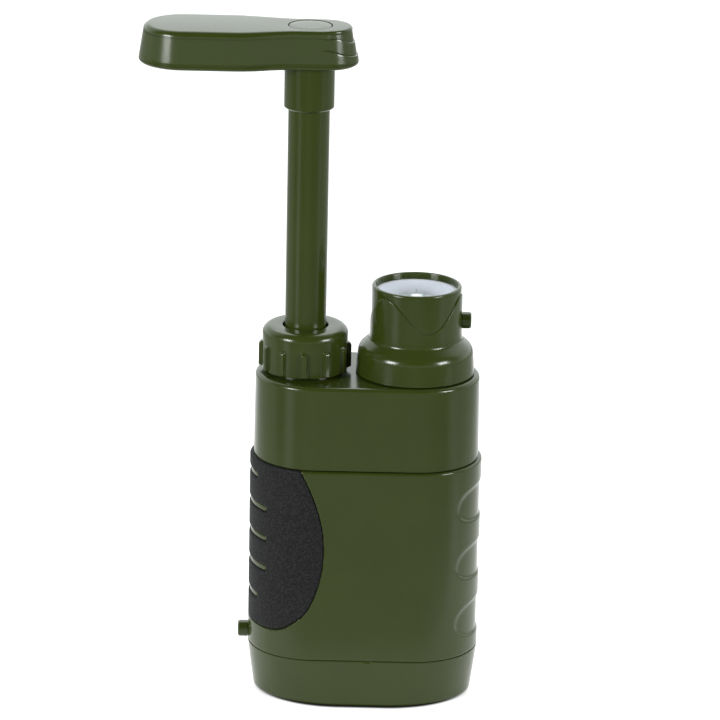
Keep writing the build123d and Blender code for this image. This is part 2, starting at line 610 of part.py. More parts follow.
with BuildPart() as compass_cup:
    turned(TURRET_X, (0, WELL_FLOOR), (CUP_RADIUS, WELL_FLOOR), (CUP_RADIUS, LENS_BOTTOM),
           (CUP_RADIUS - CUP_WALL, LENS_BOTTOM), (CUP_RADIUS - CUP_WALL, CUP_FLOOR), (0, CUP_FLOOR))
finish(compass_cup, "compass_cup")

with BuildPart() as compass_card:
    tube(TURRET_X, CUP_RADIUS - CUP_WALL - 0.2, 0.6, CUP_FLOOR, CUP_FLOOR + 0.5)
finish(compass_card, "compass_card")

with BuildPart() as needle_pivot:
    turned(TURRET_X, (0, CUP_FLOOR), (0.55, CUP_FLOOR), (0.55, NEEDLE_Z - 0.5), (0, NEEDLE_Z + 0.5))
finish(needle_pivot, "needle_pivot")

with BuildPart() as compass_needle:
    with BuildSketch(Plane.XY.offset(NEEDLE_Z)) as blade:
        with Locations((TURRET_X, 0)):
            with BuildLine():
                Polyline((TURRET_X - 1.5, 0), (TURRET_X, 10.5), (TURRET_X + 1.5, 0),
                         (TURRET_X, -10.5), close=True)
            make_face()
    extrude(blade.sketch, amount=0.4)
    rod(TURRET_X, 1.9, NEEDLE_Z - 0.3, NEEDLE_Z + 1.2)
    turned(TURRET_X, (0, NEEDLE_Z - 1), (0.8, NEEDLE_Z - 1), (0.8, NEEDLE_Z - 0.2), (0, NEEDLE_Z + 0.75),
           mode=Mode.SUBTRACT)
finish(compass_needle, "compass_needle")

with BuildPart() as compass_lens:
    rod(TURRET_X, CUP_RADIUS, LENS_BOTTOM, LENS_TOP)
finish(compass_lens, "compass_lens")
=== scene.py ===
"""Looks for the pump water filter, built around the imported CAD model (metres, same frame)."""

import json
import math

import bmesh
import bpy
import numpy as np
from mathutils import Matrix, Vector


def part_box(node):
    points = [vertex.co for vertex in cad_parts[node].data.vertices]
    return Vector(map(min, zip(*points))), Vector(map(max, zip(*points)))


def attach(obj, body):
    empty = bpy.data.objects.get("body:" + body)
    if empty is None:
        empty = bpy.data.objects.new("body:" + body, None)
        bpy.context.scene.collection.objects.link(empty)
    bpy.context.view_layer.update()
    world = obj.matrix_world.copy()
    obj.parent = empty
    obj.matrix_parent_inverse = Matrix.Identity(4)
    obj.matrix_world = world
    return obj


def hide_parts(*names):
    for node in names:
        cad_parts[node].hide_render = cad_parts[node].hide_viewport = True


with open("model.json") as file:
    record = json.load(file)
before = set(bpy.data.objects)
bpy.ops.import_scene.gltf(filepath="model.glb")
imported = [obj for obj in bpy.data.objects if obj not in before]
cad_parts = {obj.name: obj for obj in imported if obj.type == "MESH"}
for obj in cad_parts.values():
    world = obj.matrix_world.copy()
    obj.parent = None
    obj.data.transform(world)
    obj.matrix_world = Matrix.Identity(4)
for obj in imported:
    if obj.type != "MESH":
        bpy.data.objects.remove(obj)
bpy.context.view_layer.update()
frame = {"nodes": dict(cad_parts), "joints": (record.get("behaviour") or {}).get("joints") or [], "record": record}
MM = 0.001

# ---- places, read from the frame -----------------------------------------------------------
joints = {j["name"]: j for j in frame["joints"]}
PUMP_X = joints["handle_swivel"]["pos_m"][0]
TURRET_X = joints["turret_turn"]["pos_m"][0]
sleeve_low, sleeve_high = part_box("grip_sleeve")
PUMP_MM, TURRET_MM = PUMP_X / MM, TURRET_X / MM


def mount_place(name):
    return next(m["pos_m"] for m in frame["record"]["mounts"] if m["name"] == name)


# ---- materials -----------------------------------------------------------------------------
def srgb(red, green, blue):
    """A colour given as 0-255 screen values, as the linear numbers that shaders use."""
    def linear(value):
        value /= 255
        return value / 12.92 if value <= 0.04045 else ((value + 0.055) / 1.055) ** 2.4
    return (linear(red), linear(green), linear(blue), 1.0)


class Shader:
    """One procedural material, with short names for the nodes it is built from."""

    def __init__(self, name, colour, roughness, **sockets):
        self.material = bpy.data.materials.new(name)
        self.material.use_nodes = True
        self.nodes = self.material.node_tree.nodes
        self.links = self.material.node_tree.links
        self.principled = self.nodes["Principled BSDF"]
        self.principled.inputs["Base Color"].default_value = colour
        self.principled.inputs["Roughness"].default_value = roughness
        for socket, value in sockets.items():
            self.principled.inputs[socket.replace("_", " ")].default_value = value
        self.colour, self.roughness = colour, roughness
        self.place = self.nodes.new("ShaderNodeTexCoord").outputs["Object"]

    def noise(self, scale, detail=3.0, rough=0.55, stretch=None):
        """Noise over the object in its own metres; scale is in cycles per metre."""
        node = self.nodes.new("ShaderNodeTexNoise")
        node.inputs["Scale"].default_value = scale
        node.inputs["Detail"].default_value = detail
        node.inputs["Roughness"].default_value = rough
        if stretch:
            mapping = self.nodes.new("ShaderNodeMapping")
            mapping.inputs["Scale"].default_value = stretch
            self.links.new(self.place, mapping.inputs["Vector"])
            self.links.new(mapping.outputs["Vector"], node.inputs["Vector"])
        else:
            self.links.new(self.place, node.inputs["Vector"])
        return node.outputs["Fac"]

    def ramp(self, value, low, high, out_low=0.0, out_high=1.0):
        """Maps low..high to out_low..out_high, clamped."""
        node = self.nodes.new("ShaderNodeMapRange")
        node.inputs["From Min"].default_value = low
        node.inputs["From Max"].default_value = high
        node.inputs["To Min"].default_value = out_low
        node.inputs["To Max"].default_value = out_high
        self.links.new(value, node.inputs["Value"])
        return node.outputs["Result"]

    def maths(self, operation, first, second=0.0):
        node = self.nodes.new("ShaderNodeMath")
        node.operation = operation
        for socket, value in zip(node.inputs, (first, second)):
            if isinstance(value, float):
                socket.default_value = value
            else:
                self.links.new(value, socket)
        return node.outputs["Value"]

    def vary_roughness(self, value, spread):
        """Lets the roughness follow value, by spread to either side."""
        low, high = self.roughness - spread, self.roughness + spread
        self.links.new(self.ramp(value, 0.2, 0.8, low, high), self.principled.inputs["Roughness"])

    def vary_colour(self, value, low, high):
        """Mixes two colours by value."""
        mix = self.nodes.new("ShaderNodeMix")
        mix.data_type = "RGBA"
        mix.inputs["A"].default_value = low
        mix.inputs["B"].default_value = high
        self.links.new(value, mix.inputs["Factor"])
        self.links.new(mix.outputs["Result"], self.principled.inputs["Base Color"])

    def bump(self, value, height, strength=1.0):
        """Adds relief of a real height in metres on top of what is there already."""
        node = self.nodes.new("ShaderNodeBump")
        node.inputs["Distance"].default_value = height
        node.inputs["Strength"].default_value = strength
        self.links.new(value, node.inputs["Height"])
        socket = self.principled.inputs["Normal"]
        if socket.is_linked:
            self.links.new(socket.links[0].from_socket, node.inputs["Normal"])
        self.links.new(node.outputs["Normal"], socket)


def shade(colour, factor):
    """A darker or paler version of a linear colour."""
    return tuple(min(1.0, c * factor) for c in colour[:3]) + (1.0,)


MOULD_TEXTURE, MOULD_WAVINESS = 0.00001, 0.00003  # relief of moulded plastic, in metres


def moulded(name, colour, roughness, tone=0.06, **sockets):
    """Injection-moulded plastic: faint mottling, uneven gloss and a whisper of surface texture."""
    shader = Shader(name, colour, roughness, **sockets)
    broad = shader.noise(45.0, 2.0)
    fine = shader.noise(2600.0, 2.0)
    shader.vary_colour(shader.ramp(broad, 0.2, 0.8), shade(colour, 1 - tone), shade(colour, 1 + tone))
    shader.vary_roughness(broad, 0.03)
    shader.bump(fine, MOULD_TEXTURE, 0.35)
    shader.bump(shader.noise(160.0, 1.0), MOULD_WAVINESS, 0.12)
    return shader.material


def grained_rubber(name, colour):
    """Soft rubber with a fine spark-eroded grain that shows as paler specks."""
    shader = Shader(name, colour, 0.66, Specular_IOR_Level=0.14)
    grain = shader.noise(1400.0, 2.0, 0.65)
    fine = shader.noise(3400.0, 2.0, 0.6)
    shader.vary_colour(shader.ramp(grain, 0.42, 0.66), shade(colour, 0.7), shade(colour, 2.4))
    shader.vary_roughness(shader.noise(60.0), 0.06)
    shader.bump(grain, 0.00016, 0.55)
    shader.bump(fine, 0.00004, 0.5)
    return shader.material


OLIVE = srgb(42, 51, 13)
olive = moulded("olive_abs", OLIVE, 0.19, Specular_IOR_Level=0.33)
rubber = grained_rubber("grip_rubber", srgb(19, 19, 20))
white = moulded("white_plastic", srgb(192, 192, 206), 0.35, tone=0.02)
dark = moulded("black_nylon", srgb(34, 35, 35), 0.45)
milky = moulded("milky_plastic", srgb(214, 218, 216), 0.3, tone=0.02, Subsurface_Weight=0.2)
seal = moulded("nitrile_rubber", srgb(24, 24, 25), 0.5)


def metal(name, colour, roughness):
    """Turned metal: faint rings of tool marks and a few duller patches."""
    shader = Shader(name, colour, roughness, Metallic=1.0)
    marks = shader.noise(900.0, 2.0, 0.6, stretch=(1, 1, 6))
    shader.vary_roughness(marks, 0.07)
    shader.vary_colour(shader.ramp(shader.noise(300.0), 0.3, 0.7), shade(colour, 0.85), colour)
    shader.bump(marks, 0.00001, 0.4)
    return shader.material


def fibres(name, colour, pale, grain, stretch):
    """Felt, hollow fibres or pressed grains: a rough surface mottled at the given grain."""
    shader = Shader(name, colour, 0.85, Specular_IOR_Level=0.2)
    strands = shader.noise(grain, 5.0, 0.7, stretch=stretch)
    shader.vary_colour(shader.ramp(strands, 0.35, 0.65), colour, pale)
    shader.bump(strands, 0.0002, 0.8)
    return shader.material


def clear_lens(name):
    """Thin clear plastic: see-through, with a sharp reflection that grows at a glancing angle."""
    shader = Shader(name, (1, 1, 1, 1), 0.04)
    clear = shader.nodes.new("ShaderNodeBsdfTransparent")
    clear.inputs["Color"].default_value = (0.97, 0.985, 0.99, 1)
    gloss = shader.nodes.new("ShaderNodeBsdfGlossy")
    gloss.inputs["Roughness"].default_value = 0.05
    edge = shader.nodes.new("ShaderNodeFresnel")
    edge.inputs["IOR"].default_value = 1.42
    from_inside = shader.nodes.new("ShaderNodeNewGeometry").outputs["Backfacing"]
    reflected = shader.maths("MULTIPLY", edge.outputs["Fac"], shader.maths("SUBTRACT", 1.0, from_inside))
    mix = shader.nodes.new("ShaderNodeMixShader")
    shader.links.new(reflected, mix.inputs[0])
    shader.links.new(clear.outputs["BSDF"], mix.inputs[1])
    shader.links.new(gloss.outputs["BSDF"], mix.inputs[2])
    shader.links.new(mix.outputs["Shader"], shader.nodes["Material Output"].inputs["Surface"])
    shader.nodes.remove(shader.principled)
    return shader.material


def round_the_dial(shader):
    """Radius from the compass axis in metres, the bearing round it in whole turns, and y."""
    shift = shader.nodes.new("ShaderNodeVectorMath")
    shift.operation = "SUBTRACT"
    shift.inputs[1].default_value = (TURRET_X, 0, 0)
    shader.links.new(shader.place, shift.inputs[0])
    split = shader.nodes.new("ShaderNodeSeparateXYZ")
    shader.links.new(shift.outputs["Vector"], split.inputs["Vector"])
    x, y = split.outputs["X"], split.outputs["Y"]
    squares = shader.maths("ADD", shader.maths("MULTIPLY", x, x), shader.maths("MULTIPLY", y, y))
    bearing = shader.maths("MULTIPLY", shader.maths("ARCTAN2", x, y), 1 / (2 * math.pi))
    return shader.maths("SQRT", squares), bearing, y


TICKS_FROM, LONG_TICKS_FROM, TICKS_TO = 0.0110, 0.0100, 0.0122  # radii on the compass card, in metres
STAR_VALLEY, STAR_TIP, CIRCLE = 0.0045, 0.0092, 0.0096


def dial_card(name):
    """Pale green card with a ring of tick marks and a plain eight-pointed star."""
    shader = Shader(name, srgb(176, 196, 190), 0.5)
    radius, bearing, _ = round_the_dial(shader)

    def between(inner, outer):
        return shader.maths("MULTIPLY", shader.maths("GREATER_THAN", radius, inner),
                            shader.maths("LESS_THAN", radius, outer))

    def sectors(count):
        """Place within the nearest of count sectors, 0 to 1, and distance from its middle."""
        turn = shader.maths("MULTIPLY", shader.maths("ADD", bearing, 1.0), float(count))
        part = shader.maths("FRACT", turn)
        return part, shader.maths("ABSOLUTE", shader.maths("SUBTRACT", part, 0.5))

    def ticks(count, width, inner):
        _, off = sectors(count)
        on = shader.maths("GREATER_THAN", off, 0.5 - width)
        return shader.maths("MULTIPLY", on, between(inner, TICKS_TO))

    ink = shader.maths("MAXIMUM", ticks(72, 0.16, TICKS_FROM), ticks(24, 0.08, LONG_TICKS_FROM))
    part, off = sectors(8)
    star_edge = shader.ramp(off, 0.0, 0.5, STAR_VALLEY, STAR_TIP)
    star = shader.maths("MULTIPLY", shader.maths("LESS_THAN", radius, star_edge),
                        shader.maths("GREATER_THAN", part, 0.5))
    ink = shader.maths("MAXIMUM", shader.maths("MAXIMUM", ink, star), between(STAR_TIP, CIRCLE))
    shader.vary_colour(ink, srgb(182, 203, 197), srgb(58, 84, 96))
    shader.vary_roughness(shader.noise(300.0), 0.05)
    return shader.material


HUB_RADIUS = 0.0021


def needle_paint(name):
    """White needle and hub, with a dark blue-green tip on its north half."""
    shader = Shader(name, srgb(235, 235, 238), 0.35)
    radius, _, y = round_the_dial(shader)
    north = shader.maths("MULTIPLY", shader.maths("GREATER_THAN", y, 0.0),
                         shader.maths("GREATER_THAN", radius, HUB_RADIUS))
    shader.vary_colour(north, srgb(232, 232, 238), srgb(38, 66, 74))
    shader.vary_roughness(shader.noise(400.0), 0.04)
    return shader.material


MATERIALS = {
    "olive_shell": olive,
    "black_rubber": rubber,
    "white_plastic": white,
    "dark_plastic": dark,
    "clear_plastic": milky,
    "seal_rubber": seal,
    "lens": clear_lens("compass_lens"),
    "dial": dial_card("compass_card"),
    "needle": needle_paint("compass_needle"),
    "brass": metal("turned_brass", srgb(196, 158, 84), 0.28),
    "steel": metal("stainless_steel", srgb(176, 178, 180), 0.3),
    "carbon": fibres("carbon_grains", srgb(20, 20, 21), srgb(62, 62, 64), 1400.0, (1, 1, 1)),
    "membrane": fibres("hollow_fibres", srgb(196, 196, 188), srgb(236, 236, 230), 1800.0, (1, 1, 0.04)),
    "felt": fibres("filter_felt", srgb(188, 190, 186), srgb(232, 232, 226), 1200.0, (1, 1, 1)),
    "resin": moulded("potting_resin", srgb(196, 176, 120), 0.35, tone=0.05, Subsurface_Weight=0.15),
}


# ---- mesh helpers (millimetres) ------------------------------------------------------------
BODY_OF = {node: body for body, nodes in frame["record"]["behaviour"]["bodies"].items() for node in nodes}
SLOT_OF = {part["node"]: part["material_slot"] for part in frame["record"]["subparts"]}
SHARP_ANGLE = math.radians(38)


def solid(name, points, faces, *nodes):
    """A closed mesh that stands for some CAD nodes, and rides and shines as the first of them does."""
    mesh = bpy.data.meshes.new(name)
    mesh.from_pydata((np.asarray(points) * MM).tolist(), [], [list(face) for face in faces])
    clean = bmesh.new()
    clean.from_mesh(mesh)
    bmesh.ops.recalc_face_normals(clean, faces=clean.faces)
    clean.to_mesh(mesh)
    clean.free()
    mesh.polygons.foreach_set("use_smooth", [True] * len(mesh.polygons))
    mesh.set_sharp_from_angle(angle=SHARP_ANGLE)
    obj = bpy.data.objects.new(name, mesh)
    bpy.context.scene.collection.objects.link(obj)
    mesh.materials.append(MATERIALS[SLOT_OF[nodes[0]]])
    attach(obj, BODY_OF[nodes[0]])
    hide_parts(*nodes)


def skin(rings, closed=False):
    """Points and faces over equal rings.

    The last ring joins the first if closed; otherwise both ends are capped.
    """
    rows, columns = rings.shape[:2]
    index = np.arange(rows * columns).reshape(rows, columns)
    low, high = (index, np.roll(index, -1, axis=0)) if closed else (index[:-1], index[1:])
    quads = np.stack([low, np.roll(low, -1, 1), np.roll(high, -1, 1), high], -1).reshape(-1, 4)
    points, faces = rings.reshape(-1, 3), quads.tolist()
    if not closed:
        for ring in (index[0], index[-1]):
            points = np.vstack([points, points[ring].mean(0)])
            faces += [(a, b, len(points) - 1) for a, b in zip(ring, np.roll(ring, -1))]
    return points, faces


def soften(*corners, steps=6):
    """A polyline through (radius, height, rounding) corners, each rounded by an arc of that radius."""
    points = []
    for i, (x, z, rounding) in enumerate(corners):
        here = np.array((x, z))
        if not rounding:
            points.append(here)
            continue
        back = np.array(corners[i - 1][:2]) - here
        on = np.array(corners[i + 1][:2]) - here
        back, on = back / np.linalg.norm(back), on / np.linalg.norm(on)
        half = math.acos(np.clip(back @ on, -1, 1)) / 2
        centre = here + (back + on) / np.linalg.norm(back + on) * rounding / math.sin(half)
        start = here + back * rounding / math.tan(half) - centre
        end = here + on * rounding / math.tan(half) - centre
        turn = math.atan2(start[0] * end[1] - start[1] * end[0], start @ end)
        for k in range(steps + 1):
            c, s = math.cos(turn * k / steps), math.sin(turn * k / steps)
            points.append(centre + (start[0] * c - start[1] * s, start[0] * s + start[1] * c))
    return np.array(points)


def step(x):
    """0 below 0, 1 above 1, and smooth between."""
    x = np.clip(x, 0, 1)
    return x * x * (3 - 2 * x)


def angles(count):
    """Equal bearings round a full turn."""
    return np.arange(count) * 2 * math.pi / count


def lathe(x, radius, height, theta):
    """Rings about the upright axis at x; radius and height are one row per ring."""
    radius, height, theta = np.broadcast_arrays(radius, height, theta)
    return np.stack([x + radius * np.cos(theta), radius * np.sin(theta), height], -1)


# ---- gland nut -----------------------------------------------------------------------------
NUT_WALL, NUT_BORE, NUT_HOLE, NUT_ROOF = 14.9, 13.2, 7.9, 2.0  # radii, and thickness of the top
RIBS, RIB_RISE, RIB_WIDE, RIB_EDGE, RIB_TALL, RIB_TIP = 12, 1.2, 1.25, 0.55, 8.0, 1.3


def gland_nut():
    """A turned nut whose wall swells into ribs with rounded upper ends."""
    low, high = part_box("gland_nut")
    bottom, top = low[2] / MM, high[2] / MM
    theta = angles(720)
    profile = soften(
        (NUT_BORE, bottom, 0), (NUT_WALL - 0.1, bottom, 0), (NUT_WALL, bottom + 0.1, 0), (NUT_WALL, top, 3.0),
        (NUT_HOLE, top, 0.5), (NUT_HOLE, top - NUT_ROOF, 0), (NUT_BORE, top - NUT_ROOF, 0), steps=10)
    wall_rows = 50
    wall = np.linspace(bottom + 0.5, bottom + 10.2, wall_rows)
    split = int(np.argmax(profile[:, 1] > bottom + 0.6))
    rows = np.vstack([profile[:split], np.stack([np.full(wall_rows, NUT_WALL), wall], 1), profile[split:]])
    radius, height = rows[:, :1], rows[:, 1:]
    pitch = 2 * math.pi / RIBS
    aside = np.abs((theta + pitch / 2) % pitch - pitch / 2) * NUT_WALL
    across = step((RIB_WIDE - aside) / RIB_EDGE)
    along = np.sqrt(np.clip(1 - np.clip((height - (bottom + RIB_TALL)) / RIB_TIP, 0, 1) ** 2, 0, 1))
    along = along * step((height - bottom - 0.2) / 0.5) * (radius > NUT_WALL - 0.01)
    radius = radius + RIB_RISE * across * along
    solid("ribbed_nut", *skin(lathe(PUMP_MM, radius, height, theta), closed=True), "gland_nut")


# ---- turret --------------------------------------------------------------------------------
TURRET_BORE = 18.2
ON_AXIS = 0.02  # radius of the innermost ring of a turned shape, so that its faces aren't pinched
WAVES = 3
WAVE_TURN = math.radians(17)  # where a wave is lowest, from the front
WAVE_DEPTH = 5.75
WAVE_LEVEL = 23.25  # mean height of the step above the turret's foot
LEDGE = ((-0.60, 0.0), (-0.30, 0.02), (-0.14, 0.09), (-0.04, 0.22), (0.02, 0.38), (0.10, 0.47),
         (0.24, 0.46), (0.6, 0.40))  # the step's section: (height, depth below the surface)


def turret():
    """A turned cap whose rows follow a wavy step round its upper wall."""
    low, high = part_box("turret_cap")
    bottom, top = low[2] / MM, high[2] / MM
    theta = angles(600)
    foot = soften((TURRET_BORE, bottom, 0), (20.5, bottom, 0), (20.6, bottom + 0.1, 0),
                  (20.0, bottom + 8.8, 4.5), (16.15, bottom + 12.1, 1.8), (15.98, bottom + 14.2, 0), steps=12)
    well, floor, roof = 14.2, top - 8.5, bottom + 8.1
    rim = soften((15.55, top - 1.6, 0), (15.5, top - 0.02, 0.75), (well, top - 0.02, 0.4), (well, floor, 0),
                 (ON_AXIS, floor, 0), steps=8)
    inside = soften((ON_AXIS, bottom + 13.5, 0), (4.75, bottom + 13.5, 0), (4.75, roof, 0),
                    (TURRET_BORE, roof, 0))
    wave = bottom + WAVE_LEVEL - WAVE_DEPTH * np.cos(WAVES * (theta + math.pi / 2 - WAVE_TURN))
    radii, heights = [], []
    for radius, height in foot:
        radii.append(np.full_like(theta, radius))
        heights.append(np.full_like(theta, height))
    start, end = foot[-1], rim[0]

    def wall(height):
        """Radius of the leaning wall."""
        return start[0] + (end[0] + 0.35 - start[0]) * (height - start[1]) / (end[1] - start[1])

    for part in np.linspace(0, 1, 14)[1:-1]:
        height = start[1] + (wave + LEDGE[0][0] - start[1]) * part
        heights.append(height)
        radii.append(wall(height))
    for lift, depth in LEDGE:
        heights.append(wave + lift)
        radii.append(wall(wave + lift) - depth)
    for part in np.linspace(0, 1, 10)[1:-1]:
        height = wave + LEDGE[-1][0] + (end[1] - wave - LEDGE[-1][0]) * part
        heights.append(height)
        radii.append(wall(height) - 0.40 + 0.05 * part)
    for radius, height in np.vstack([rim, inside]):
        radii.append(np.full_like(theta, radius))
        heights.append(np.full_like(theta, height))
    rings = lathe(TURRET_MM, np.array(radii), np.array(heights), theta)
    solid("turret_body", *skin(rings, closed=True), "turret_cap")


# ---- handle --------------------------------------------------------------------------------
BIG_END, BIG_RADIUS = 42.9, 15.7  # distance from the pump's axis, and radius
SMALL_END, SMALL_RADIUS = -5.2, 11.7
NARROWS_FROM, NARROWS_TO = 26.0, 3.0
HANDLE_MIDDLE = np.array((20.0, 0))  # a point inside its plan
HANDLE_DRAFT = 2.1 / 13.3
TIERS = (5.2, 4.9), (9.8, 3.9)  # depth of each small step below the top, and how much it climbs
TIER_DEPTH = 0.38
TIER_EDGE = (-0.16, 0.02), (-0.05, 0.12), (0.03, 0.38), (0.12, 0.48), (0.25, 0.42)  # (height, depth)
DISC_HOLE, DISC_SEAT = 7.6, 6.6
SHELL_WALL = 2.0


def handle_outline(inset):
    """Plan of the handle, pushed inwards by inset, as a ring of points."""
    turn = np.linspace(math.pi / 2, -math.pi / 2, 121)
    big = np.stack([BIG_END + BIG_RADIUS * np.cos(turn), BIG_RADIUS * np.sin(turn)], 1)
    small = np.stack([SMALL_END - SMALL_RADIUS * np.cos(turn), -SMALL_RADIUS * np.sin(turn)], 1)
    along = np.linspace(BIG_END, SMALL_END, 121)[1:-1]
    share = step((along - NARROWS_TO) / (NARROWS_FROM - NARROWS_TO))
    wide = SMALL_RADIUS + (BIG_RADIUS - SMALL_RADIUS) * share
    ring = np.vstack([big, np.stack([along, -wide], 1), small, np.stack([along, wide], 1)[::-1]])
    tangent = np.roll(ring, -1, 0) - np.roll(ring, 1, 0)
    normal = np.stack([tangent[:, 1], -tangent[:, 0]], 1) / np.linalg.norm(tangent, axis=1)[:, None]
    normal *= np.sign(((ring - HANDLE_MIDDLE) * normal).sum(1))[:, None]
    moved = ring - normal * np.reshape(inset, (-1, 1))
    return np.stack([PUMP_MM - moved[:, 0], moved[:, 1]], 1)


def handle_top():
    """Drafted shell with a rounded top edge, and small steps that fade out round its narrow end."""
    low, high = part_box("handle_shell")
    bottom, top = low[2] / MM, high[2] / MM
    plan = handle_outline(0)
    bearing = np.arctan2(plan[:, 1], plan[:, 0] - PUMP_MM)
    away = np.abs(np.arctan2(plan[:, 1], plan[:, 0] - (PUMP_MM - SMALL_END)))
    fade = step((math.radians(97) - away) / math.radians(22))
    rings = []

    def add(inset, height):
        flat = handle_outline(inset)
        rings.append(np.column_stack([flat, np.broadcast_to(height, len(flat))]))

    def slope(height):
        return 0.22 + (height - bottom) * HANDLE_DRAFT

    away_from_disc = np.hypot(plan[:, 0] - PUMP_MM, plan[:, 1])
    edge = 1.25 + 0.85 * step((away_from_disc - 12.5) / 14)
    upper, lower = (top - depth + climb * (1 - np.cos(np.minimum(away, 1.7))) for depth, climb in TIERS)
    upper, lower = np.minimum(upper, top - 2.6), np.minimum(lower, top - 6.5)
    levels = [np.full(len(plan), bottom + 0.25), lower, upper, top - edge]
    add(slope(bottom) + 0.2, bottom)
    tier = 0
    for first, second in zip(levels[:-1], levels[1:]):
        for part in np.linspace(0.06, 0.94, 9):
            height = first + (second - first) * part
            add(slope(height) + TIER_DEPTH * tier * fade, height)
        if second is not levels[-1]:
            for lift, depth in TIER_EDGE:
                height = second + lift
                add(slope(height) + (TIER_DEPTH * tier + depth) * fade, height)
            tier += 1
    for part in np.linspace(0, 1, 14):
        turn = part * (math.pi / 2)
        height = top - edge + edge * math.sin(turn)
        stepped = 2 * TIER_DEPTH * fade * (1 - part)
        add(slope(top - edge) + stepped + edge * (1 - math.cos(turn)) + 0.15 * part, height)
    hole = soften((DISC_HOLE + 0.35, top, 0), (DISC_HOLE, top, 0.15), (DISC_HOLE, top - 1.6, 0),
                  (DISC_SEAT, top - 1.6, 0), (DISC_SEAT, top - SHELL_WALL, 0))
    for radius, height in hole:
        rings.append(lathe(PUMP_MM, radius, height, bearing))
    add(slope(top) + SHELL_WALL, top - SHELL_WALL)
    add(slope(bottom) + SHELL_WALL, bottom)
    solid("handle_top", *skin(np.array(rings), closed=True), "handle_shell")


def handle_disc():
    """The round plug in the handle's top: a flanged cup, open below."""
    low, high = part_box("handle_plug")
    bottom, top = low[2] / MM, high[2] / MM
    profile = soften((ON_AXIS, top - 0.05, 0), (4.0, top - 0.05, 0), (7.3, top - 0.1, 0.2),
                     (7.3, top - 1.5, 0), (6.4, top - 1.5, 0), (6.4, bottom, 0), (5.2, bottom, 0),
                     (5.2, top - 1.6, 0), (ON_AXIS, top - 1.6, 0))
    rings = lathe(PUMP_MM, profile[:, :1], profile[:, 1:], angles(180))
    solid("handle_disc", *skin(rings, closed=True), "handle_plug")


# ---- bottom cover --------------------------------------------------------------------------
CASE_RADIUS = (sleeve_high[1] - sleeve_low[1]) / MM / 2
CASE_CENTRE = sleeve_high[0] / MM - CASE_RADIUS
SEAM_Z = sleeve_low[2] / MM
SLEEVE_TOP = sleeve_high[2] / MM
FOOT_CENTRE, FOOT_LONG, FOOT_SHORT = 8.0, 30.2, 22.4  # plan of the foot: rounder ends than the seam's
FOOT_ROUNDING = 1.3
PRY_X = 2.0  # place of the pry notch along the front seam
RIM_TOP, RIM_TOP_AT_SPOUT = 19.8, 15.5


def pill_columns(straight, bend):
    """Columns round a pill: place along its straight sides (-1 to 1) and outward normal."""
    sides = np.linspace(1, -1, straight, endpoint=False)
    turn = np.linspace(0, math.pi, bend, endpoint=False)
    place = np.concatenate([sides, np.full(bend, -1.0), -sides, np.full(bend, 1.0)])
    nx = np.concatenate([0 * sides, -np.sin(turn), 0 * sides, np.sin(turn)])
    ny = np.concatenate([0 * sides - 1, -np.cos(turn), 0 * sides + 1, np.cos(turn)])
    return place, nx, ny


def bottom_cover():
    """A bowl with swelling sides, a rounded foot, and a rim that stands up inside the sleeve."""
    place, nx, ny = pill_columns(170, 150)
    seam = SEAM_Z - 0.15
    inner = CASE_RADIUS - 2.75
    pried = step((1.7 - np.abs(CASE_CENTRE * place - PRY_X)) / 1.3) * (ny < -0.99)
    at_spout = (nx < -0.9) & (np.abs(ny) * inner < 4.7)
    rings = []

    def add(height, inset=0.0):
        part = min(1.0, height / seam)
        part = part + 0.16 * part * (1 - part)  # the sides swell a little
        centre = FOOT_CENTRE + (CASE_CENTRE - FOOT_CENTRE) * part
        long = FOOT_LONG + (CASE_RADIUS - FOOT_LONG) * part
        short = FOOT_SHORT + (CASE_RADIUS - FOOT_SHORT) * part
        rings.append(np.stack([centre * place + (long - inset) * nx, (short - inset) * ny,
                               np.broadcast_to(height, nx.shape)], -1))

    add(0.45, 7.0)
    add(0.45, 3.4)
    add(0.0, 3.0)
    add(0.0, 1.5)
    for turn in np.linspace(0.12, 1, 8) * math.pi / 2:
        add(FOOT_ROUNDING * (1 - math.cos(turn)), FOOT_ROUNDING * (1 - math.sin(turn)))
    for height in np.linspace(1.6, seam - 1.1, 14):
        add(height)
    add(seam - 0.75)
    add(seam - 0.55, 0.12 * pried)
    add(seam - 0.25, 0.35 * pried)
    add(seam - 0.07, 0.08 + 0.4 * pried)
    add(seam, 0.25 + 0.3 * pried)
    rim_top = np.where(at_spout, RIM_TOP_AT_SPOUT, RIM_TOP)
    for height, radius in ((np.minimum(seam, rim_top), inner), (rim_top - 0.3, inner), (rim_top, inner - 0.3),
                           (rim_top, inner - 1.6), (np.full_like(nx, 13.0), inner - 1.6)):
        rings.append(np.stack([CASE_CENTRE * place + radius * nx, radius * ny, height], -1))
    add(10.0, 2.6)
    add(3.0, 2.4)
    add(2.0, 3.6)
    solid("cover_shell", *skin(np.array(rings)), "bottom_cover")


# ---- grip sleeve and rubber, worked out on the case unrolled flat ---------------------------
GRIP_DEPTH = 1.4
GRIP_GAP = 0.2  # between the rubber's edge and the sleeve's step
SLEEVE_WALL = 2.55
SPOUT_NOTCH = 2.75  # radius of the arch over the inlet spout
NOTCH_FADES_AT = 26.0  # height up to which the arch pushes the rows of points upwards
SLOT_HEIGHTS = (81.2, 70.2, 59.3, 48.3, 37.0)
SLOT_TIPS = (-37.8, -34.5, -34.5, -34.5, -37.5)
SLOT_HALF, RIB_HALF, RIB_SUNK = 1.1, 0.82, 0.5
RECESS_HEIGHTS = (72.5, 51.2, 29.9)
RECESS_LONG, RECESS_TALL, RECESS_DEPTH = 9.0, 7.0, 0.55
GRIP_EDGE = ((86.8, -22.6), (77.2, -18.1), (67.0, -15.0), (57.0, -14.1), (44.7, -15.8), (34.2, -20.5),
             (28.5, -27.1))
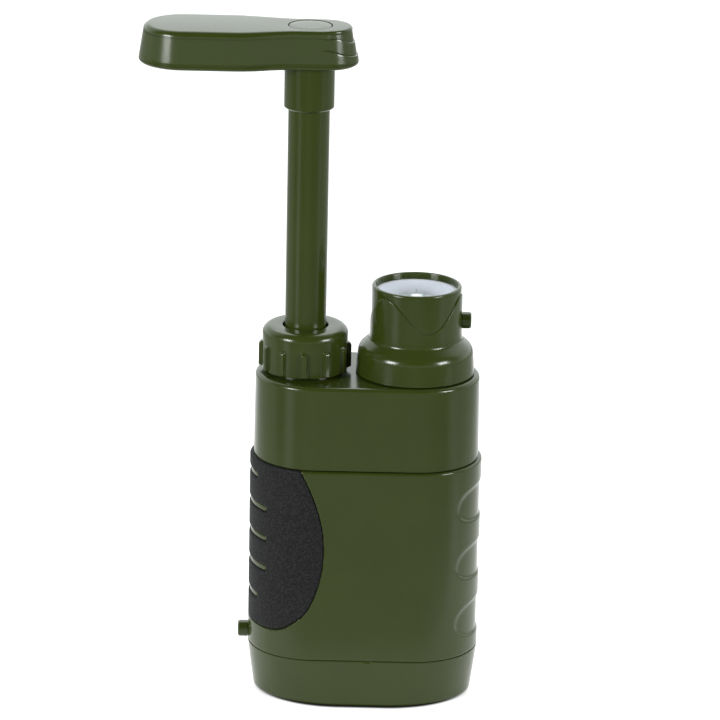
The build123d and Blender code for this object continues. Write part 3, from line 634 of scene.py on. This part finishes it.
GRIP_FOOT, GRIP_FOOT_X = 26.5, -34.5  # height of its level foot, and where the flowing edge joins it
GRIP_FROM_X = -11.0  # where the rubber's grid of points starts and ends
NEAR_CUT = 0.015  # points closer to a cut than this are moved off it
BEND = math.pi * CASE_RADIUS
AROUND = 4 * CASE_CENTRE + 2 * BEND


def unroll(x):
    """Distance along the front of the case, leftwards from its middle, to a place x on its left half."""
    x = np.asarray(x, float)
    past = np.clip((-x - CASE_CENTRE) / CASE_RADIUS, 0, 1)
    return np.where(x > -CASE_CENTRE, -x, CASE_CENTRE + CASE_RADIUS * np.arcsin(past))


def roll(s, sink):
    """x and y on the case's surface, at a distance s round it and sunk by sink."""
    s = np.mod(s, AROUND)
    c, r = CASE_CENTRE, CASE_RADIUS - sink
    turn = np.clip((s - c) / CASE_RADIUS, 0, math.pi) + np.clip((s - 3 * c - BEND) / CASE_RADIUS, 0, math.pi)
    centre = np.select([s < c, s < c + BEND, s < 3 * c + BEND, s < 3 * c + 2 * BEND],
                       [-s, -c + 0 * s, s - 2 * c - BEND, c + 0 * s], 4 * c + 2 * BEND - s)
    return centre - r * np.sin(turn), -r * np.cos(turn)


def grip_boundary():
    """The rubber's flowing edge on the unrolled front, as a dense polyline of (s, z)."""
    z, x = np.array(GRIP_EDGE).T
    knots = np.concatenate([[0], np.cumsum(np.hypot(np.diff(x), np.diff(z)))])
    dense = np.linspace(0, knots[-1], 260)

    def through(values):
        slopes = np.gradient(values, knots)
        i = np.clip(np.searchsorted(knots, dense, side="right") - 1, 0, len(knots) - 2)
        width = knots[i + 1] - knots[i]
        t = (dense - knots[i]) / width
        return ((2 * t**3 - 3 * t**2 + 1) * values[i] + (t**3 - 2 * t**2 + t) * width * slopes[i]
                + (3 * t**2 - 2 * t**3) * values[i + 1] + (t**3 - t**2) * width * slopes[i + 1])

    x, z = through(x), through(z)
    # round the lower corner on to the level foot
    turn = np.linspace(0, 1, 40)[1:]
    x_end, z_end = x[-1], z[-1]
    x = np.append(x, x_end + (GRIP_FOOT_X - x_end) * turn)
    z = np.append(z, z_end + (GRIP_FOOT - z_end) * (1 - (1 - turn) ** 2))
    s = unroll(x)
    back_s = 2 * CASE_CENTRE + BEND - s
    line = np.stack([s, z], 1)
    foot_s = np.linspace(s[-1], back_s[-1], 200)[1:-1]
    foot = np.stack([foot_s, np.full(len(foot_s), GRIP_FOOT)], 1)
    return np.vstack([line, foot, np.stack([back_s, z], 1)[::-1]])


def inside_distance(s, z, line):
    """Distance to the edge of the rubber's region, more than 0 inside; the top is left open."""
    gap = np.full(s.shape, 1e9)
    for start, end in zip(line[:-1], line[1:]):
        span = end - start
        t = np.clip(((s - start[0]) * span[0] + (z - start[1]) * span[1]) / (span @ span), 0, 1)
        gap = np.minimum(gap, (s - start[0] - t * span[0]) ** 2 + (z - start[1] - t * span[1]) ** 2)
    half = len(line) // 2
    order = np.argsort(line[:half, 1])
    edge_s = np.interp(z, line[:half, 1][order], line[:half, 0][order])
    middle = CASE_CENTRE + BEND / 2
    inside = (np.abs(s - middle) < middle - edge_s) & (z > GRIP_FOOT)
    return np.where(inside, 1, -1) * np.sqrt(gap)


def bar_distance(s, z, half):
    """Distance to the edge of the nearest slot or rib, more than 0 inside it."""
    middle = CASE_CENTRE + BEND / 2
    best = np.full(s.shape, -1e9)
    for tip, height in zip(SLOT_TIPS, SLOT_HEIGHTS):
        reach = middle - unroll(tip + (half - RIB_HALF)) - half
        along = np.maximum(np.abs(s - middle) - reach, 0)
        best = np.maximum(best, half - np.hypot(along, z - height))
    return best


def rounding(inside, radius):
    """How far an edge rounded by radius has fallen at a distance inside it."""
    return radius - np.sqrt(radius**2 - (radius - np.clip(inside, 0, radius)) ** 2)


def cut_grid(s, z, field, wraps):
    """Splits a grid of triangles along field = 0.

    Returns all points' s, z and column, the triangles of the side above 0 and of the side below 0,
    and the cut's segments.
    """
    rows, columns = field.shape
    field = np.where(np.abs(field) < NEAR_CUT, np.where(field < 0, -NEAR_CUT, NEAR_CUT), field)
    index = np.arange(rows * columns).reshape(rows, columns)
    right = np.roll(index, -1, 1)
    if not wraps:
        index, right = index[:, :-1], right[:, :-1]
    a, b, c, d = index[:-1], right[:-1], right[1:], index[1:]
    triangles = np.concatenate([np.stack(corners, -1).reshape(-1, 3) for corners in ([a, b, c], [a, c, d])])
    all_s, all_z, level = s.ravel(), z.ravel(), field.ravel()
    all_column = np.tile(np.arange(columns), rows)
    above = (level[triangles] > 0).sum(1)
    over, under = triangles[above == 3].tolist(), triangles[above == 0].tolist()
    extra, cuts, segments = {}, [], []

    def cut(p, q):
        key = (min(p, q), max(p, q))
        if key not in extra:
            t = level[p] / (level[p] - level[q])
            extra[key] = len(all_s) + len(cuts)
            cuts.append((all_s[p] + t * (all_s[q] - all_s[p]), all_z[p] + t * (all_z[q] - all_z[p]),
                         min(all_column[p], all_column[q])))
        return extra[key]

    for tri in triangles[(above == 1) | (above == 2)].tolist():
        alone_above = sum(level[v] > 0 for v in tri) == 1
        first = next(k for k in range(3) if (level[tri[k]] > 0) == alone_above)
        p, q, r = tri[first], tri[(first + 1) % 3], tri[(first + 2) % 3]
        pq, pr = cut(p, q), cut(p, r)
        one, two = (over, under) if alone_above else (under, over)
        one.append([p, pq, pr])
        two += [[pq, q, r], [pq, r, pr]]
        segments.append((pq, pr))
    cuts = np.array(cuts)
    all_s, all_z = np.append(all_s, cuts[:, 0]), np.append(all_z, cuts[:, 1])
    return all_s, all_z, np.append(all_column, cuts[:, 2]).astype(int), over, under, segments


def rows_between(low, high, pitch, fine):
    """Heights from low to high, closer together round each slot and at the lip."""
    heights, z = [low], low
    while z < high - 0.05:
        near = min(abs(z - h) for h in SLOT_HEIGHTS) < 1.5 or z > SLEEVE_TOP - 1.2
        z += fine if near else pitch
        heights.append(min(z, high))
    return np.array(heights)


def spans(*stretches):
    """Distances from 0 up through stretches of (length, pitch), without the last end."""
    start, out = 0.0, []
    for length, pitch in stretches:
        count = max(1, round(length / pitch))
        out.append(start + np.arange(count) * length / count)
        start += length
    return np.concatenate(out)


def recess_depth(s, z):
    """Finger recesses in the right-hand end: soft above, with a crisp step below."""
    x, _ = roll(s, 0)
    depth = 0
    for height in RECESS_HEIGHTS:
        up = z - height
        inside = (1 - np.hypot((sleeve_high[0] / MM - x) / RECESS_LONG, up / RECESS_TALL)) * RECESS_TALL
        width = 1.0 + 1.0 * step((up + RECESS_TALL * 0.55) / (RECESS_TALL * 0.8))
        depth = depth + RECESS_DEPTH * step(inside / width)
    return np.where(x > 0, depth, 0)


def lower_edge(x, y):
    """Height of the sleeve's lower edge, which arches over the inlet spout at the left end."""
    over_spout = (np.abs(y) < SPOUT_NOTCH) & (x < 0)
    arch = mount_place("inlet_hose")[2] / MM + np.sqrt(np.clip(SPOUT_NOTCH**2 - y**2, 0, None))
    return np.where(over_spout, arch, SEAM_Z)


def sleeve(line):
    """The case's shell: sunk where the rubber lies, with ribs that stand in the rubber's slots."""
    def sleeve_field(s, z):
        return np.maximum(-inside_distance(s, z, line) - GRIP_GAP, bar_distance(s, z, RIB_HALF))

    s = spans((CASE_CENTRE, 0.45), (BEND, 0.4), (CASE_CENTRE, 0.45), (CASE_CENTRE, 1.6), (BEND, 0.62),
              (CASE_CENTRE, 1.6))
    rows = rows_between(SEAM_Z, SLEEVE_TOP, 0.46, 0.24)
    s_grid, z_grid = np.meshgrid(s, rows)
    all_s, all_z, column, over, under, segments = cut_grid(
        s_grid, z_grid, sleeve_field(s_grid, z_grid), wraps=True)
    on_rib = inside_distance(all_s, all_z, line) > 0
    sink = rounding(SLEEVE_TOP - all_z, 0.8) + rounding(all_z - SEAM_Z, 0.25) + recess_depth(all_s, all_z)
    sink = sink + rounding(sleeve_field(all_s, all_z), 0.3) + np.where(on_rib, RIB_SUNK, 0)

    # the points along the cut are doubled, one above and one below, with a wall between them
    grid = s_grid.size
    new = len(all_s) - grid
    below = np.zeros(len(all_s), bool)
    below[np.unique([v for tri in under for v in tri if v < grid])] = True
    sink = np.where(below, GRIP_DEPTH, sink)
    full_sink = np.append(sink, np.full(new, GRIP_DEPTH))
    full_s, full_z = np.append(all_s, all_s[grid:]), np.append(all_z, all_z[grid:])
    full_column = np.append(column, column[grid:])
    lowered = [[v + new if v >= grid else v for v in tri] for tri in under]
    walls = [(p, q, q + new, p + new) for p, q in segments]
    x, y = roll(full_s, full_sink)
    blend = np.clip((NOTCH_FADES_AT - full_z) / (NOTCH_FADES_AT - SEAM_Z), 0, 1)
    full_z = full_z + (lower_edge(x, y) - SEAM_Z) * blend
    points = np.stack([x, y, full_z], 1)
    faces = over + lowered + walls

    # the open edges above and below are joined to an inner wall
    count = {}
    for face in faces:
        for p, q in zip(face, list(face[1:]) + [face[0]]):
            count[(min(p, q), max(p, q))] = count.get((min(p, q), max(p, q)), 0) + 1
    columns = len(s)
    inner_x, inner_y = roll(s, SLEEVE_WALL)
    first = len(points)
    points = np.vstack([points, np.stack([inner_x, inner_y, lower_edge(inner_x, inner_y)], 1),
                        np.stack([inner_x, inner_y, np.full(columns, SLEEVE_TOP)], 1)])
    middle_z = (SEAM_Z + SLEEVE_TOP) / 2
    for (p, q), times in count.items():
        if times == 1:
            shelf = first + (columns if points[p][2] > middle_z else 0)
            a, b = shelf + full_column[p], shelf + full_column[q]
            faces.append((p, q, b) if a == b else (p, q, b, a))
    low_ring = first + np.arange(columns)
    faces += [(a, b, b + columns, a + columns) for a, b in zip(low_ring, np.roll(low_ring, -1))]
    solid("sleeve_shell", points, faces, "grip_sleeve")


def rubber_skin(line):
    """The soft grip, as a skin with a rounded edge and slots for the sleeve's ribs."""
    def rubber_field(s, z):
        return np.minimum.reduce([inside_distance(s, z, line), -bar_distance(s, z, SLOT_HALF),
                                  SLEEVE_TOP - z])

    start = unroll(GRIP_FROM_X)
    s = np.linspace(start, 2 * CASE_CENTRE + BEND - start, 251)
    rows = rows_between(GRIP_FOOT - 0.6, SLEEVE_TOP + 0.4, 0.4, 0.24)
    s_grid, z_grid = np.meshgrid(s, rows)
    all_s, all_z, _, over, _, segments = cut_grid(s_grid, z_grid, rubber_field(s_grid, z_grid), wraps=False)
    x, y = roll(all_s, rounding(rubber_field(all_s, all_z), 0.7))
    inner_x, inner_y = roll(all_s, GRIP_DEPTH - 0.02)
    used = np.unique(np.array(over))
    renumber = np.full(len(all_s), -1)
    renumber[used] = np.arange(len(used))
    outer = np.stack([x, y, all_z], 1)[used]
    inner = np.stack([inner_x, inner_y, all_z], 1)[used]
    total = len(used)
    over = renumber[np.array(over)]
    faces = over.tolist() + (over[:, ::-1] + total).tolist()
    faces += [(renumber[p], renumber[q], renumber[q] + total, renumber[p] + total) for p, q in segments]
    solid("rubber_skin", np.vstack([outer, inner]), faces, "rubber_grip")


# ---- build ---------------------------------------------------------------------------------
for node, obj in frame["nodes"].items():
    obj.data.materials.clear()
    obj.data.materials.append(MATERIALS[SLOT_OF[node]])

gland_nut()
turret()
handle_top()
handle_disc()
bottom_cover()
grip_line = grip_boundary()
sleeve(grip_line)
rubber_skin(grip_line)


# ---- floor, light and camera (metres) ------------------------------------------------------
FLOOR_SIZE = 12.0
FLOOR_STOPS = (0.0, 0.34), (0.35, 0.42), (0.80, 0.46), (0.93, 0.58), (1.0, 1.0)  # painted shade on the floor going forward, as (place, grey)
FORWARD, NEAR = -0.50, -0.060  # y at the first and the last of those stops
LIGHT_STREAKS = (-52, 0.45), (70, 0.32)  # painted light: paler, glowing floor streaks that the object's walls reflect; bearing from straight forward in degrees, strength
# reach of the painted contact shadow round the object's foot
CONTACT_SHADOW_STRAIGHT, CONTACT_SHADOW_LONG, CONTACT_SHADOW_SHORT = 0.008, 0.0300, 0.0236


def floor_paper():
    """White paper round and behind the object that glows by half its tone as painted light; greyer further forward
    and far out to the sides as painted shade, with paler glowing streaks as painted light and a painted contact
    shadow where the object stands.
    """
    shader = Shader("floor_paper", (0.5, 0.5, 0.5, 1), 0.7, Specular_IOR_Level=0.1)
    split = shader.nodes.new("ShaderNodeSeparateXYZ")
    shader.links.new(shader.place, split.inputs["Vector"])
    x, y = split.outputs["X"], split.outputs["Y"]
    off_middle = shader.maths("ABSOLUTE", x)

    forward = shader.nodes.new("ShaderNodeValToRGB")
    while len(forward.color_ramp.elements) < len(FLOOR_STOPS):
        forward.color_ramp.elements.new(0.5)
    for element, (place, grey) in zip(forward.color_ramp.elements, FLOOR_STOPS):
        element.position = place
        element.color = (grey, grey, grey, 1)
    shader.links.new(shader.ramp(y, FORWARD, NEAR), forward.inputs["Fac"])
    # painted shade: the floor also greys far out to the sides
    aside = shader.maths("SUBTRACT", off_middle, shader.maths("MULTIPLY", y, 0.09))
    tone = shader.maths("MULTIPLY", forward.outputs["Color"], shader.ramp(aside, 0.14, 0.30, 1.0, 0.48))

    # painted light: paler streaks at given bearings, glowing with the paper
    turn = shader.maths("ARCTAN2", x, shader.maths("MULTIPLY", y, -1.0))
    for bearing, strength in LIGHT_STREAKS:
        off = shader.maths("ABSOLUTE", shader.maths("SUBTRACT", turn, math.radians(bearing)))
        light_streak = shader.maths("MULTIPLY", shader.ramp(off, math.radians(3), math.radians(12), strength, 0.0),
                              shader.ramp(off_middle, 0.12, 0.22))
        tone = shader.maths("ADD", tone, light_streak)

    # painted contact shadow: the floor goes dark where the object stands
    past_straight = shader.maths("MAXIMUM", shader.maths("SUBTRACT", off_middle, CONTACT_SHADOW_STRAIGHT), 0.0)
    out = shader.maths("MULTIPLY", past_straight, 1 / CONTACT_SHADOW_LONG)
    deep = shader.maths("MULTIPLY", y, 1 / CONTACT_SHADOW_SHORT)
    foot = shader.maths("ADD", shader.maths("MULTIPLY", out, out), shader.maths("MULTIPLY", deep, deep))
    tone = shader.maths("MULTIPLY", tone, shader.ramp(foot, 0.90, 1.02, 0.02, 1.0))
    shader.vary_colour(tone, (0, 0, 0, 1), (0.62, 0.62, 0.62, 1))
    # painted light: the paper glows by half its tone, keeping it white next to the object and softening its shadow
    shader.principled.inputs["Emission Color"].default_value = (1, 1, 1, 1)
    shader.links.new(shader.maths("MULTIPLY", tone, 0.5), shader.principled.inputs["Emission Strength"])
    return shader.material


def lay_floor():
    half = FLOOR_SIZE / 2
    mesh = bpy.data.meshes.new("floor")
    corners = [(-half, -half, 0), (half, -half, 0), (half, half, 0), (-half, half, 0)]
    mesh.from_pydata(corners, [], [(0, 1, 2, 3)])
    mesh.materials.append(floor_paper())
    floor = bpy.data.objects.new("floor", mesh)
    bpy.context.scene.collection.objects.link(floor)


lay_floor()


def softbox(name, power, width, height, place, aim):
    """A rectangular light at a place, turned towards aim."""
    data = bpy.data.lights.new(name, "AREA")
    data.shape = "RECTANGLE"
    data.size, data.size_y = width, height
    data.energy = power
    obj = bpy.data.objects.new(name, data)
    obj.location = place
    direction = Vector(aim) - Vector(place)
    obj.rotation_euler = direction.to_track_quat("-Z", "Y").to_euler()
    bpy.context.scene.collection.objects.link(obj)


MIDDLE = (0, 0, 0.12)
SOFTBOX_DISTANCE, SOFTBOX_HEIGHT = 0.75, 0.39
for name, bearing, power in (("left_softbox", -49, 6.4), ("right_softbox", 58, 5.3)):
    bearing = math.radians(bearing)
    spot = (SOFTBOX_DISTANCE * math.sin(bearing), -SOFTBOX_DISTANCE * math.cos(bearing), SOFTBOX_HEIGHT)
    softbox(name, power, 0.26, 0.22, spot, MIDDLE)
softbox("back_light", 6.0, 1.0, 0.8, (0, 0.8, 1.1), MIDDLE)

BAND_STRENGTH, DIM_STRENGTH, WALL_STRENGTH = 1.1, 0.10, 1.7


def studio_world():
    """White walls behind and beside the object; on the camera's side only a low pale band."""
    world = bpy.data.worlds.new("studio")
    world.use_nodes = True
    nodes, links = world.node_tree.nodes, world.node_tree.links
    direction = nodes.new("ShaderNodeTexCoord").outputs["Generated"]
    split = nodes.new("ShaderNodeSeparateXYZ")
    links.new(direction, split.inputs["Vector"])

    def fade(value, start, end, low, high):
        """Goes smoothly from low to high as value goes from start to end."""
        node = nodes.new("ShaderNodeMapRange")
        node.interpolation_type = "SMOOTHSTEP"
        for socket, number in zip(("From Min", "From Max", "To Min", "To Max"), (start, end, low, high)):
            node.inputs[socket].default_value = number
        links.new(value, node.inputs["Value"])
        return node.outputs["Result"]

    background = nodes["Background"]
    background.inputs["Color"].default_value = (0.95, 1.0, 0.99, 1)
    band = fade(split.outputs["Z"], 0.05, 0.32, BAND_STRENGTH, DIM_STRENGTH)
    back = fade(split.outputs["Y"], -0.12, 0.45, 0.0, 1.0)
    mix = nodes.new("ShaderNodeMix")
    mix.inputs["B"].default_value = WALL_STRENGTH
    links.new(back, mix.inputs["Factor"])
    links.new(band, mix.inputs["A"])
    links.new(mix.outputs["Result"], background.inputs["Strength"])
    bpy.context.scene.world = world


studio_world()
bpy.context.scene.view_settings.view_transform = "Standard"

# fitted to the outlines of the case in the photograph
AZIMUTH, ELEVATION, ROLL = math.radians(0.12), math.radians(17.78), math.radians(1.18)
DISTANCE, LENS = 1.6, 230.2
AIM = Vector((-0.00277, 0, 0.120674))


def photo_camera():
    back = Vector((math.sin(AZIMUTH) * math.cos(ELEVATION), -math.cos(AZIMUTH) * math.cos(ELEVATION),
                   math.sin(ELEVATION)))
    right = Vector((math.cos(AZIMUTH), math.sin(AZIMUTH), 0))
    up = back.cross(right)
    side = right * math.cos(ROLL) + up * math.sin(ROLL)
    top = up * math.cos(ROLL) - right * math.sin(ROLL)
    data = bpy.data.cameras.new("camera")
    data.lens = LENS
    data.clip_end = 50
    obj = bpy.data.objects.new("camera", data)
    turn = Matrix((side, top, back)).transposed().to_4x4()
    obj.matrix_world = Matrix.Translation(AIM + back * DISTANCE) @ turn
    bpy.context.scene.collection.objects.link(obj)
    bpy.context.scene.camera = obj


photo_camera()
